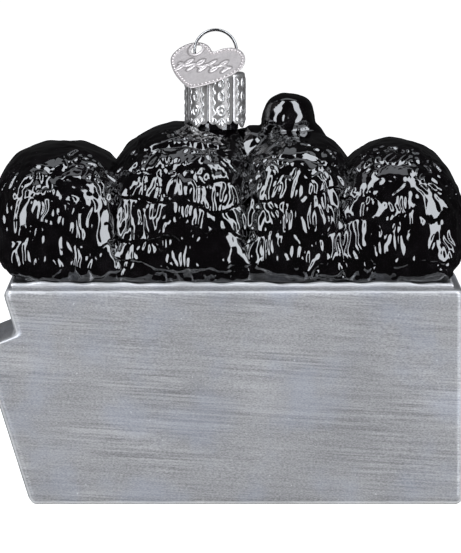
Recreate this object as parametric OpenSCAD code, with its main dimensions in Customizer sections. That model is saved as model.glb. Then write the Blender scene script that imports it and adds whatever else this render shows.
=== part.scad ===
// Hanging ornament of mould-blown glass: a plain mine cart tub heaped with
// lumps of coal. A stamped metal cap with sprung petals covers the neck, a
// spring-wire hanger drops its two legs through the cap into the neck, and a
// thin heart-shaped tag is threaded on the hanger's loop.
// Frame: +Z up, X along the cart, the plain side of the tub faces -Y, and the
// origin is the middle of the flat underside.

/* [Tub] */
// Overall length of the glass, from the ledge at the low end to the coal at the high end
glass_len = 101.2; // [85:0.2:121]
// Depth of the tub from the plain side to the relief
tub_depth = 42; // [35:1:50]
// Height of the rim above the underside
rim_h = 45.4; // [38:0.2:54]
// Height of the ledge where it meets the raised side
ledge_h = 35.6; // [29:0.2:37]
// How far the ledge stands out past the raised side above it
ledge_reach = 4.9; // [3.4:0.1:7]
// How far the ledge falls towards its tip
ledge_drop = 2.4; // [0:0.1:4]
// How far the sloped end leans in from the ledge to the underside
end_slope = 10.2; // [6:0.2:14]
// How far the raised side leans in from the rim to the ledge
side_lean = 2.1; // [0:0.1:3]
// Radius of the rounded edges
edge_r = 1.8; // [1.4:0.1:2.4]
// Thickness of the blown glass
glass_t = 1; // [0.8:0.1:1.2]

/* [Moulded relief] */
// Height of the ribs, sill and wheels above the wall
relief_h = 1.2; // [0.8:0.1:1.8]
// Width of an upright rib
rib_w = 3; // [2:0.2:5]
// Number of upright ribs
rib_count = 4; // [2:1:6]
// Outer radius of a moulded wheel
wheel_r = 9.5; // [7:0.5:11]
// Width of a moulded wheel's tread
tread_w = 2; // [1.4:0.2:3]
// Distance between the wheels' middles
wheelbase = 48; // [40:1:58]
// Number of spokes in a moulded wheel
spoke_count = 6; // [4:1:8]

/* [Coal] */
// Height of the coal's widest level above the rim
belly_h = 13.6; // [11:0.2:16]
// How far the coal overhangs the raised side at the low end
low_overhang = 3.7; // [0:0.1:4.6]
// How far the coal overhangs the tub at the high end
high_overhang = 1.1; // [0:0.1:2.4]
// Height over which the coal draws in to the rim
undercut_h = 2; // [1.4:0.2:3]
// Radius of the small lump on top of the heap
knob_r = 5.4; // [4.4:0.2:6.4]

/* [Neck and cap] */
// Place of the neck along the cart
neck_x = -2.2; // [-3.2:0.1:-1.2]
// Height of the flat shoulder round the neck above the rim
shoulder_h = 31.6; // [30:0.2:38]
// Outer radius of the glass neck
neck_r = 4.8; // [4:0.1:5.8]
// Number of petals in the cap's skirt
petal_count = 7; // [6:1:9]
// Height of the cap from its petal tips to its top
cap_h = 11.5; // [9.6:0.1:13.8]
// Thickness of the stamped sheet
sheet_t = 0.3; // [0.24:0.02:0.36]

/* [Hanger and tag] */
// Diameter of the spring wire
wire_d = 0.6; // [0.5:0.02:0.74]
// Radius of the hanger's loop, to the middle of the wire
loop_r = 4.4; // [3.6:0.1:5.3]
// Gap between the middles of the two legs where they leave the loop
leg_gap = 3; // [2.4:0.1:3.6]
// Length of each leg inside the glass, below the shoulder
leg_reach = 10; // [8:0.5:14]
// How far the hanger can be drawn up through the cap
draw = 4; // [3:0.2:5]
// Radius of each lobe of the heart
lobe_r = 4.9; // [4.1:0.1:5.9]
// Thickness of the heart-shaped tag
tag_t = 0.25; // [0.2:0.01:0.32]

/* [Hidden] */

silver_lacquer = [0.6, 0.61, 0.63];
black_lacquer = [0.07, 0.07, 0.075];
clear_glass = [0.85, 0.87, 0.88];
stamped_metal = [0.82, 0.82, 0.84];
spring_steel = [0.7, 0.71, 0.72];

// Tub
ball_sides = 16;
x_low = -glass_len / 2;
x_high = glass_len / 2 - high_overhang;
x_side = x_low + ledge_reach;
y_plain = -tub_depth / 2;
y_wall = tub_depth / 2 - relief_h;

// Relief on the far side
sill_z = 12;
sill_w = 3;
band_w = 4;
hub_r = 2.4;
spoke_w = 1.4;
wheel_lift = 0.6;
relief_sink = 0.4;
// The band, sill and ribs stand a little lower than the wheels, each by its own share
band_share = 0.9;
sill_share = 0.8;
rib_share = 0.85;
relief_from = x_side + side_lean + 3 * edge_r;
relief_to = x_high - 2 * edge_r;
relief_top = rim_h - 2 * edge_r;

// Heap: each lump is [where it starts and ends along the heap, as shares of
// the heap's length, and the height of its top above the rim]
LUMPS = [[0, 0.302, 29], [0.229, 0.575, 32.8], [0.511, 0.775, 31.8], [0.693, 1, 29.8]];
heap_from = x_side - low_overhang;
heap_len = glass_len / 2 - heap_from;
heap_inset = 0.5;
heap_b = tub_depth / 2 - heap_inset;
plan_power = 2.8;
crown_power = 2.3;
foot_share = 0.97;
lump_sides = 24;
crown_steps = 7;
knob_x = -1;
knob_h = 33.2;

function belly_plan(i) = [heap_from + LUMPS[i][0] * heap_len,
                          heap_from + LUMPS[i][1] * heap_len, -heap_b, heap_b];
function foot_plan(i) = let (p = belly_plan(i))
    [max(p[0], x_side + edge_r), min(p[1], x_high - edge_r),
     y_plain + edge_r, y_wall - edge_r];
function lump_x(i) = (belly_plan(i)[0] + belly_plan(i)[1]) / 2;
// Two neighbours are parted halfway through their overlap
function crease_x(i) = (belly_plan(i)[1] + belly_plan(i + 1)[0]) / 2;
function slab_from(i) = i == 0 ? x_low : crease_x(i - 1);
function slab_to(i) = i == len(LUMPS) - 1 ? glass_len / 2 + 1 : crease_x(i);

// Neck, cap, hanger and tag
part_gap = 0.3;
seat_gap = 0.1;
shoulder_z = rim_h + shoulder_h;
bore_r = neck_r - glass_t;
lobe_depth = 0.76;
cap_r = neck_r + part_gap + lobe_depth + 2 * sheet_t;
pad_r = cap_r + part_gap;
cap_z = shoulder_z + part_gap;
cap_top = cap_z + cap_h;
neck_top = cap_top - sheet_t - seat_gap;
petal_turn = 11.2;
petal_half = 180 / petal_count;
// Radius and middle of the arc of one petal, which meets its neighbours in
// valleys that lie lobe_depth inside the crowns
crown_r = petal_r(cap_r, cap_r - lobe_depth);
crown_at = cap_r - crown_r;
slit_w = 0.3;
scallop_r = 1.6;
wire_r = wire_d / 2;
// The balls at the wire's bends stand a hair proud of it, so that the runs join
bend_r = wire_r + 0.01;
hole_r = wire_r + part_gap;
gap_angle = asin(leg_gap / 2 / loop_r);
loop_foot = loop_r * cos(gap_angle);
loop_z = cap_top + seat_gap + wire_r + loop_foot;
leg_straight = draw + 2.5 * sheet_t + seat_gap + wire_r;
// The legs splay as far as the bore allows when the hanger is drawn right up
elbow_z = cap_top + seat_gap + wire_r - leg_straight;
leg_end_z = shoulder_z - leg_reach;
splay = (bore_r - part_gap - wire_r - leg_gap / 2)
    / (elbow_z - shoulder_z + glass_t + draw);
leg_end_x = leg_gap / 2 + splay * (elbow_z - leg_end_z);
tag_yaw = -28.7;
tag_roll = -8.4;
tag_offset = [0.4, -0.2, 0.3];
tag_clear = 0.45;
// The tag leans out just far enough for its plane to pass clear of the cap's
// top edge, which lies tag_out across and tag_up below where the tag hangs
tag_out = cap_r + (loop_r - tag_offset[0]) * sin(tag_yaw) + tag_offset[1] * cos(tag_yaw);
tag_up = loop_z + tag_offset[2] - cap_top;
tag_lean = atan2(tag_out, tag_up) + asin(tag_clear / norm([tag_out, tag_up]));
lobe_at = 0.87 * lobe_r;
tip_at = 1.583 * lobe_r;
tag_play = 0.95;
tag_hole_r = wire_r + tag_play;
tag_hole = [-0.88 * lobe_r, 0.59 * lobe_r];

function petal_r(crown, valley) =
    let (s = cos(petal_half))
    (pow(crown, 2) - 2 * crown * valley * s + pow(valley, 2))
        / (2 * (crown - valley * s));

function signed_power(v, e) = sign(v) * pow(abs(v), e);

// Rounded block over a list of corners, drawn in by inset. The middles of
// the corner balls don't move, so the wall has one thickness all round. The
// flats of each faceted ball lie at its full radius, so flat faces do too.
module rounded_block(corners, inset) {
    hull()
        for (p = corners)
            translate(p) sphere(r = (edge_r - inset) / cos(180 / ball_sides), $fn = ball_sides);
}

// Solid of the tub, in two blocks, drawn in by inset
module tub_solid(inset) {
    near = y_plain + edge_r;
    far = y_wall - edge_r;
    side = x_side + edge_r;
    high = x_high - edge_r;
    ledge = ledge_h - edge_r;
    rounded_block([
        for (y = [near, far])
            each [[x_low + edge_r, y, ledge - ledge_drop],
                  [side + side_lean, y, ledge],
                  [x_low + end_slope + edge_r, y, edge_r],
                  [high, y, edge_r], [high, y, ledge]]], inset);
    rounded_block([
        for (y = [near, far])
            each [[side + side_lean, y, ledge], [side, y, rim_h - 2 * edge_r],
                  [side + edge_r / 2, y, rim_h - edge_r],
                  [high, y, rim_h - edge_r], [high, y, ledge]]], inset);
}

// One lump as a stack of rounded rings, drawn in by inset: its foot on the
// tub's flat top, out over the undercut to its belly, and up to its crown
module lump_solid(i, inset) {
    belly = belly_plan(i);
    foot = foot_plan(i);
    rise = LUMPS[i][2] - belly_h - inset;
    levels = concat(
        inset > 0 ? [[-3 * inset, 1, foot]] : [],
        [[inset, 1, foot], [undercut_h + inset, foot_share, belly]],
        [for (k = [0 : crown_steps - 1])
            let (t = k * 90 / crown_steps)
            [belly_h + rise * signed_power(sin(t), 2 / crown_power),
             signed_power(cos(t), 2 / crown_power), belly]]);
    points = concat(
        [for (level = levels, j = [0 : lump_sides - 1])
            let (share = level[1], p = level[2], u = j * 360 / lump_sides,
                 a = (p[1] - p[0]) / 2 * share - inset,
                 b = (p[3] - p[2]) / 2 * share - inset)
            [(p[0] + p[1]) / 2 + a * signed_power(cos(u), 2 / plan_power),
             (p[2] + p[3]) / 2 + b * signed_power(sin(u), 2 / plan_power),
             rim_h + level[0]]],
        [[lump_x(i), 0, rim_h + belly_h + rise]]);
    top = len(points) - 1;
    last = top - lump_sides;
    function ring(k, j) = k * lump_sides + j % lump_sides;
    polyhedron(points, concat(
        [[for (j = [0 : lump_sides - 1]) j]],
        [for (k = [0 : len(levels) - 2], j = [0 : lump_sides - 1])
            [ring(k, j), ring(k + 1, j), ring(k + 1, j + 1), ring(k, j + 1)]],
        [for (j = [0 : lump_sides - 1])
            [top, last + (j + 1) % lump_sides, last + j]]));
}

// Solid of a run of lumps with the shoulder for the neck, drawn in by inset
module heap_solid(inset, first = 0, last = len(LUMPS) - 1) {
    difference() {
        union() {
            for (i = [first : last]) lump_solid(i, inset);
            translate([lump_x(2) + knob_x, 0, rim_h + knob_h])
                sphere(r = knob_r - inset, $fn = 48);
            translate([neck_x, 0, rim_h + belly_h])
                cylinder(r = pad_r - inset, h = shoulder_h - belly_h - inset, $fn = 64);
        }
        translate([neck_x, 0, shoulder_z - inset])
            cylinder(r = pad_r + inset, h = belly_h, $fn = 64);
    }
}

module spoked_wheel() {
    h = relief_h + relief_sink;
    difference() {
        cylinder(r = wheel_r, h = h, $fn = 64);
        translate([0, 0, -relief_sink])
            cylinder(r = wheel_r - tread_w, h = h + 2 * relief_sink, $fn = 64);
    }
    cylinder(r = hub_r, h = h, $fn = 48);
    for (k = [0 : spoke_count - 1])
        rotate(k * 360 / spoke_count)
            translate([hub_r / 2, -spoke_w / 2, 0])
                cube([wheel_r - tread_w / 2 - hub_r / 2, spoke_w, h - relief_sink / 2]);
}

// Rim band, sill, ribs and wheels, as raised forms on the far wall
module relief() {
    span = relief_to - relief_from;
    step = (span - rib_w) / (rib_count - 1);
    h = relief_h + relief_sink;
    translate([0, y_wall - relief_sink, 0]) {
        translate([relief_from, 0, relief_top - band_w]) cube([span, band_share * h, band_w]);
        translate([relief_from, 0, sill_z]) cube([span, sill_share * h, sill_w]);
        for (k = [0 : rib_count - 1])
            translate([relief_from + k * step, 0, sill_z])
                cube([rib_w, rib_share * h, relief_top - sill_z - band_w / 2]);
        for (s = [-1, 1])
            translate([(relief_from + relief_to) / 2 + s * wheelbase / 2, 0,
                       wheel_r + wheel_lift])
                rotate([-90, 0, 0]) spoked_wheel();
    }
}

module tub_glass() {
    color(silver_lacquer) difference() {
        union() {
            tub_solid(0);
            relief();
        }
        tub_solid(glass_t);
        heap_solid(glass_t);
    }
}

// Glass of one lump, parted from the rest of the heap at its creases
module lump_glass(i) {
    first = max(i - 1, 0);
    last = min(i + 1, len(LUMPS) - 1);
    color(black_lacquer) intersection() {
        difference() {
            heap_solid(0, first, last);
            heap_solid(glass_t, first, last);
            translate([neck_x, 0, rim_h])
                cylinder(r = bore_r, h = 2 * shoulder_h, $fn = 64);
        }
        translate([slab_from(i), -tub_depth, rim_h])
            cube([slab_to(i) - slab_from(i), 2 * tub_depth, 2 * shoulder_h]);
    }
}

module neck_glass() {
    color(clear_glass) translate([neck_x, 0, shoulder_z]) difference() {
        cylinder(r = neck_r, h = neck_top - shoulder_z, $fn = 64);
        translate([0, 0, -glass_t])
            cylinder(r = bore_r, h = neck_top - shoulder_z + 2 * glass_t, $fn = 64);
    }
}

// Outline of the cap, with an arc for each petal, drawn in by inset
module petal_outline(inset) {
    circle(r = cap_r - lobe_depth - inset, $fn = 64);
    for (k = [0 : petal_count - 1])
        rotate(k * 360 / petal_count)
            translate([crown_at, 0]) circle(r = crown_r - inset, $fn = 64);
}

module neck_cap() {
    color(stamped_metal) translate([neck_x, 0, cap_z]) difference() {
        rotate(petal_turn - 90) difference() {
            linear_extrude(height = cap_h) petal_outline(0);
            translate([0, 0, -sheet_t])
                linear_extrude(height = cap_h) petal_outline(sheet_t);
            for (k = [0 : petal_count - 1])
                rotate((k + 0.5) * 360 / petal_count) {
                    translate([neck_r, -slit_w / 2, -sheet_t])
                        cube([cap_r, slit_w, cap_h - scallop_r]);
                    rotate([0, 90, 0])
                        translate([0, 0, neck_r])
                            cylinder(r = scallop_r, h = cap_r, $fn = 32);
                }
        }
        for (s = [-1, 1])
            translate([s * leg_gap / 2, 0, cap_h - 2 * sheet_t])
                cylinder(r = hole_r, h = 3 * sheet_t, $fn = 32);
    }
}

// Straight run of wire from one point to another, in the plane of the loop
module wire(from, to) {
    d = to - from;
    translate(from) rotate([0, atan2(d[0], d[2]), 0])
        cylinder(r = wire_r, h = norm(d), $fn = 24);
}

module hanger_wire() {
    color(spring_steel) translate([neck_x, 0, 0]) {
        translate([0, 0, loop_z]) rotate([90, 0, 0]) rotate(gap_angle - 90)
            rotate_extrude(angle = 360 - 2 * gap_angle, $fn = 96)
                translate([loop_r, 0]) circle(r = wire_r, $fn = 24);
        for (s = [-1, 1]) {
            top = [s * leg_gap / 2, 0, loop_z - loop_foot];
            elbow = [top[0], 0, elbow_z];
            end = [s * leg_end_x, 0, leg_end_z];
            wire(top, elbow);
            wire(elbow, end);
            for (p = [top, elbow, end])
                translate(p) sphere(r = bend_r, $fn = 24);
        }
    }
}

// Flat heart with its tip towards -Y. Each straight side leaves its lobe on
// the lobe's tangent through the tip.
module heart_outline() {
    touch = acos(lobe_r / norm([lobe_at, tip_at])) - atan2(tip_at, lobe_at);
    corner = [lobe_at + lobe_r * cos(touch), lobe_r * sin(touch)];
    for (s = [-1, 1]) translate([s * lobe_at, 0]) circle(r = lobe_r, $fn = 64);
    polygon([[0, -tip_at], corner, [lobe_at, 0], [0, lobe_r / 4], [-lobe_at, 0],
             [-corner[0], corner[1]]]);
}

// The tag hangs on the low side of the loop, about level with the loop's
// middle, and the wire passes off the middle of its hole
module heart_tag() {
    color(stamped_metal)
        translate([neck_x - loop_r, 0, loop_z] + tag_offset)
            rotate([0, 0, tag_yaw]) rotate([90 - tag_lean, 0, 0]) rotate(tag_roll)
                translate([-tag_hole[0], -tag_hole[1], -tag_t / 2]) difference() {
                    linear_extrude(height = tag_t) heart_outline();
                    translate([tag_hole[0], tag_hole[1], -tag_t])
                        cylinder(r = tag_hole_r, h = 3 * tag_t, $fn = 48);
                }
}

tub_glass();
lump_glass(0);  // lump_low_end
lump_glass(1);  // lump_wide
lump_glass(2);  // lump_knobbed
lump_glass(3);  // lump_high_end
neck_glass();
neck_cap();
hanger_wire();
heart_tag();
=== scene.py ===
"""Looks of a blown-glass mine cart ornament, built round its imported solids.

The glass is one blown form: a silver-lacquered tub, flooded over with glossy
black coal. A stamped cap, a wire hanger and a heart-shaped tag sit on its
neck. Shapes are worked out in millimetres and become metres in their meshes.
"""

import logging
import math
from dataclasses import dataclass, field
from enum import Enum
from typing import Any, ClassVar, TypeAlias

import bpy
import numpy as np
from mathutils import Matrix, Vector


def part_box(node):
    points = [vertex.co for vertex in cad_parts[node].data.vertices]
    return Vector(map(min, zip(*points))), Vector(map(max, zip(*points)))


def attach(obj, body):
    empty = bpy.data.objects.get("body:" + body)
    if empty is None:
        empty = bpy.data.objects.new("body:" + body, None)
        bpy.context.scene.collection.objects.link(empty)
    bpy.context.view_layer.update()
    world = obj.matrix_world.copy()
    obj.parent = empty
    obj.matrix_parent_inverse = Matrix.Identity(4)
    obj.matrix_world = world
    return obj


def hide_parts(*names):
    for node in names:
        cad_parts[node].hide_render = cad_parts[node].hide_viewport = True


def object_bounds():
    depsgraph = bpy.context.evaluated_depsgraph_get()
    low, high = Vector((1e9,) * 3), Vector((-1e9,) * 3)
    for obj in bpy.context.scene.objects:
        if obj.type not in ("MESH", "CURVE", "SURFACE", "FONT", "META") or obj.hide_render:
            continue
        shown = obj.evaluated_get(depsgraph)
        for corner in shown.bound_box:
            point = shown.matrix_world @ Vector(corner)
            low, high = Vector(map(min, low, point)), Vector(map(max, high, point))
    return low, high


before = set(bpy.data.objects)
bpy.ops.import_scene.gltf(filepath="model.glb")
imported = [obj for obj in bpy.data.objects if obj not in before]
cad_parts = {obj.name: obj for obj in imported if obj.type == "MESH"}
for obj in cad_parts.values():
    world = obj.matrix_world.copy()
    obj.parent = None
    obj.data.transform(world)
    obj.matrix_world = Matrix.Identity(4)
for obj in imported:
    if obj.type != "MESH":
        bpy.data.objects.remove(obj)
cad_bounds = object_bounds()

MM = 0.001
LOG = logging.getLogger("ornament")

Term: TypeAlias = "Port | float"
Values: TypeAlias = "np.ndarray | float"
Mesh: TypeAlias = "tuple[np.ndarray, np.ndarray]"

# The tub's far wall under its relief, in millimetres
FAR_WALL_Y = 19.8


# ---------------------------------------------------------------- node graphs


class Port:
    """One value in a node graph, which arithmetic turns into Math nodes."""

    def __init__(self, graph: "Graph", socket: bpy.types.NodeSocket | None) -> None:
        """Wraps a node's output socket, or nothing where the node has no output."""
        self.graph = graph
        self.socket = socket

    def _math(self, operation: str, *terms: Term) -> "Port":
        """Adds one Math node and returns its result."""
        values = dict(enumerate(terms))
        return self.graph.node(self.graph.math_node, {"operation": operation}, values)

    def __add__(self, other: Term) -> "Port":
        """Sum."""
        return self._math("ADD", self, other)

    def __radd__(self, other: Term) -> "Port":
        """Sum, with the port on the right."""
        return self._math("ADD", other, self)

    def __sub__(self, other: Term) -> "Port":
        """Difference."""
        return self._math("SUBTRACT", self, other)

    def __rsub__(self, other: Term) -> "Port":
        """Difference, with the port on the right."""
        return self._math("SUBTRACT", other, self)

    def __mul__(self, other: Term) -> "Port":
        """Product."""
        return self._math("MULTIPLY", self, other)

    def __rmul__(self, other: Term) -> "Port":
        """Product, with the port on the right."""
        return self._math("MULTIPLY", other, self)

    def __truediv__(self, other: Term) -> "Port":
        """Quotient."""
        return self._math("DIVIDE", self, other)

    def __pow__(self, other: Term) -> "Port":
        """Power."""
        return self._math("POWER", self, other)

    def call(self, operation: str, *others: Term) -> "Port":
        """Any other Math operation, with this port as its first term."""
        return self._math(operation, self, *others)

    def clamp(self) -> "Port":
        """The value held between 0 and 1."""
        return self.call("MAXIMUM", 0.0).call("MINIMUM", 1.0)

    def ramp(self, low: float, high: float) -> "Port":
        """A smooth rise from 0 to 1.

        Args:
            low: Where it starts from 0.
            high: Where it comes to 1.

        Returns:
            The risen value.
        """
        settings = {"interpolation_type": "SMOOTHSTEP"}
        values = {"Value": self, "From Min": low, "From Max": high}
        return self.graph.node("ShaderNodeMapRange", settings, values)


class Graph:
    """A node tree that is written as expressions."""

    math_node = "ShaderNodeMath"

    def __init__(self, tree: bpy.types.NodeTree) -> None:
        """Starts from an empty tree."""
        self.tree = tree
        tree.nodes.clear()

    def node(self, kind: str, settings: dict[str, Any] | None = None,
             values: dict[str | int, Any] | None = None, output: str | int = 0) -> Port:
        """Adds a node of any kind.

        Args:
            kind: The node's type.
            settings: The node's properties, which are set first.
            values: Socket name or number to a value or a port.
            output: Name or number of the output to return.

        Returns:
            The chosen output.
        """
        made = self.tree.nodes.new(kind)
        for name, value in (settings or {}).items():
            setattr(made, name, value)
        for name, value in (values or {}).items():
            if isinstance(value, Port):
                self.tree.links.new(value.socket, made.inputs[name])
            else:
                made.inputs[name].default_value = value
        return Port(self, made.outputs[output] if made.outputs else None)

    def xyz(self, vector: Port) -> list[Port]:
        """The three components of a vector."""
        node = self.node("ShaderNodeSeparateXYZ", None, {0: vector}).socket.node
        return [Port(self, socket) for socket in node.outputs]

    def vector(self, x: Term, y: Term, z: Term) -> Port:
        """A vector from three components."""
        return self.node("ShaderNodeCombineXYZ", None, {0: x, 1: y, 2: z})

    def noise(self, vector: Port, scale: float, detail: float, seed: Term,
              roughness: float = 0.5) -> Port:
        """Noise from 0 to 1, about 0.5 on average.

        Args:
            vector: What the noise is spread over.
            scale: How many waves it has in a unit of the vector.
            detail: How many finer layers it has.
            seed: Which noise it is.
            roughness: How strong the finer layers are.

        Returns:
            The noise.
        """
        settings = {"noise_dimensions": "4D"}
        values = {"Vector": vector, "Scale": scale, "Detail": detail,
                  "Roughness": roughness, "W": seed}
        return self.node("ShaderNodeTexNoise", settings, values)

    def mix_colour(self, factor: Port, low: Port | tuple, high: Port | tuple) -> Port:
        """A colour between two others."""
        settings = {"data_type": "RGBA"}
        return self.node("ShaderNodeMix", settings, {0: factor, 6: low, 7: high}, 2)


class GeometryTool(Graph):
    """A Geometry Nodes tree with named inputs, run once on a mesh."""

    def __init__(self, name: str, inputs: dict[str, float]) -> None:
        """Makes the tree and its inputs.

        Args:
            name: The tree's name.
            inputs: Each input's name and the value it is run with.
        """
        super().__init__(bpy.data.node_groups.new(name, "GeometryNodeTree"))
        self.values = inputs
        face = self.tree.interface
        face.new_socket("Geometry", in_out="INPUT", socket_type="NodeSocketGeometry")
        self.keys = {}
        for label, value in inputs.items():
            kind = "NodeSocketInt" if isinstance(value, int) else "NodeSocketFloat"
            socket = face.new_socket(label, in_out="INPUT", socket_type=kind)
            self.keys[label] = socket.identifier
        face.new_socket("Geometry", in_out="OUTPUT", socket_type="NodeSocketGeometry")
        self.source = self.tree.nodes.new("NodeGroupInput")

    def input(self, label: str) -> Port:
        """One of the named inputs, or the geometry."""
        return Port(self, self.source.outputs[label])

    def finish(self, geometry: Port, material: bpy.types.Material) -> None:
        """Ends the tree in Realize Instances and Set Material.

        Args:
            geometry: What the tree has made.
            material: The finish for all of it.
        """
        real = self.node("GeometryNodeRealizeInstances", None, {"Geometry": geometry})
        values = {"Geometry": real, "Material": material}
        done = self.node("GeometryNodeSetMaterial", None, values)
        end = self.tree.nodes.new("NodeGroupOutput")
        self.tree.links.new(done.socket, end.inputs[0])

    def run(self, piece: bpy.types.Object) -> bpy.types.Object:
        """Runs the tree on a piece, and leaves it a plain mesh.

        Args:
            piece: The piece, whose mesh goes in.

        Returns:
            The same piece, with what comes out.
        """
        modifier = piece.modifiers.new(self.tree.name, "NODES")
        modifier.node_group = self.tree
        for label, value in self.values.items():
            modifier[self.keys[label]] = value
        return apply_modifiers(piece)


# --------------------------------------------------------------------- meshes


def apply_modifiers(piece: bpy.types.Object) -> bpy.types.Object:
    """Replaces a piece's mesh with what its modifiers make, and removes them.

    Args:
        piece: The piece with its modifiers.

    Returns:
        The same piece, as a plain mesh.
    """
    graph = bpy.context.evaluated_depsgraph_get()
    mesh = bpy.data.meshes.new_from_object(piece.evaluated_get(graph))
    old, piece.data = piece.data, mesh
    piece.modifiers.clear()
    mesh.name = old.name
    bpy.data.meshes.remove(old)
    return piece


def signed_volume(points: np.ndarray, faces: np.ndarray) -> float:
    """Measures six times the volume inside a closed mesh.

    Args:
        points: Corners, one row each.
        faces: Quads as rows of four corner numbers.

    Returns:
        The measure, negative where the mesh is inside out.
    """
    a, b, c, d = (points[faces[:, k]] for k in range(4))
    fans = np.cross(b, c) + np.cross(c, d)
    return float((a * fans).sum())


def mark(mesh: bpy.types.Mesh, label: str, values: np.ndarray) -> None:
    """Stores one value per corner for a finish to read."""
    layer = mesh.attributes.new(label, "FLOAT", "POINT")
    layer.data.foreach_set("value", np.asarray(values, dtype=np.float32).ravel())


def mesh_piece(name: str, points: np.ndarray, faces: np.ndarray,
               marks: dict[str, np.ndarray] | None = None) -> bpy.types.Object:
    """Makes a smooth-shaded piece from a closed mesh, facing outwards.

    Args:
        name: The piece's name.
        points: Corners in millimetres, one row each.
        faces: Quads as rows of four corner numbers; a triangle repeats its last.
        marks: Named values at the corners, for the finish to read.

    Returns:
        The piece, at the origin.
    """
    if signed_volume(points - points.mean(axis=0), faces) < 0:
        faces = faces[:, ::-1]
    rows = [list(dict.fromkeys(row)) for row in faces.tolist()]
    mesh = bpy.data.meshes.new(name)
    mesh.from_pydata((points * MM).tolist(), [], rows)
    for label, values in (marks or {}).items():
        mark(mesh, label, values)
    mesh.shade_smooth()
    mesh.update()
    piece = bpy.data.objects.new(name, mesh)
    bpy.context.scene.collection.objects.link(piece)
    return piece


def ring_faces(rings: int, sides: int) -> np.ndarray:
    """Lists the quads between rings of corners that close round.

    Args:
        rings: How many rings there are.
        sides: How many corners a ring has.

    Returns:
        Quads as rows of four corner numbers.
    """
    k, j = np.meshgrid(np.arange(rings - 1), np.arange(sides), indexing="ij")
    near, far = k * sides, (k + 1) * sides
    turn = (j + 1) % sides
    quads = np.stack([near + j, near + turn, far + turn, far + j], axis=-1)
    return quads.reshape(-1, 4)


def stack_mesh(rings: np.ndarray) -> Mesh:
    """Closes a stack of rings with a middle point at each end.

    Args:
        rings: Corners as an array of rings by sides by 3.

    Returns:
        The corners and the faces.
    """
    count, sides = rings.shape[:2]
    ends = rings[[0, -1]].mean(axis=1)
    points = np.concatenate([rings.reshape(-1, 3), ends])
    j = np.arange(sides)
    turn = (j + 1) % sides
    low, high = count * sides, count * sides + 1
    last = (count - 1) * sides
    foot = np.stack([np.full(sides, low), turn, j, j], axis=-1)
    crown = np.stack([np.full(sides, high), last + j, last + turn, last + turn], axis=-1)
    return points, np.concatenate([ring_faces(count, sides), foot, crown])


def smooth_max(a: Values, b: Values, soft: float) -> Values:
    """The larger of two values, with a rounded corner where they cross."""
    return (a + b + np.sqrt((a - b) ** 2 + soft * soft)) / 2


def smooth_min(a: Values, b: Values, soft: float) -> Values:
    """The smaller of two values, with a rounded corner where they cross."""
    return -smooth_max(-a, -b, soft)


def smooth_step(values: Values, low: float, high: float) -> np.ndarray:
    """0 up to low, 1 from high on, and smooth between them."""
    t = np.clip((np.asarray(values, dtype=float) - low) / (high - low), 0, 1)
    return t * t * (3 - 2 * t)


def signed_power(values: np.ndarray, power: float) -> np.ndarray:
    """A power that keeps each value's sign."""
    return np.sign(values) * np.abs(values) ** power


@dataclass(frozen=True)
class Box:
    """A CAD node's lowest and highest corners, in millimetres."""

    low: np.ndarray
    high: np.ndarray

    @classmethod
    def of(cls, node: str) -> "Box":
        """Reads the box of a node."""
        low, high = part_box(node)
        return cls(np.array(low) / MM, np.array(high) / MM)

    @property
    def middle(self) -> np.ndarray:
        """The middle of the box."""
        return (self.low + self.high) / 2


# ------------------------------------------------------------------- finishes


class Body(Enum):
    """The bodies that pieces ride on."""

    GLASS = "glass"
    CAP = "cap"
    HANGER = "hanger"
    TAG = "tag"


class Slot(Enum):
    """The record's material slots."""

    SILVER = "silver_lacquer"
    BLACK = "black_lacquer"
    SILVERED = "silvered_glass"
    CAP = "cap_metal"
    WIRE = "wire_steel"
    TAG = "tag_metal"


class Finish:
    """A procedural material made once and used by one or more pieces."""

    def make(self, slot: Slot) -> bpy.types.Material:
        """Builds the material.

        Args:
            slot: The slot that it stands for and is named after.

        Returns:
            The material.
        """
        material = bpy.data.materials.new(slot.value)
        material.use_nodes = True
        graph = Graph(material.node_tree)
        place = graph.node("ShaderNodeTexCoord", output="Object")
        surface = self.surface(graph, place)
        graph.node("ShaderNodeOutputMaterial", None, {"Surface": surface})
        return material

    def surface(self, graph: Graph, place: Port) -> Port:
        """Adds the shader and what feeds it.

        Args:
            graph: The material's graph.
            place: Object coordinates, in metres.

        Returns:
            The shader.
        """
        raise NotImplementedError


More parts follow.
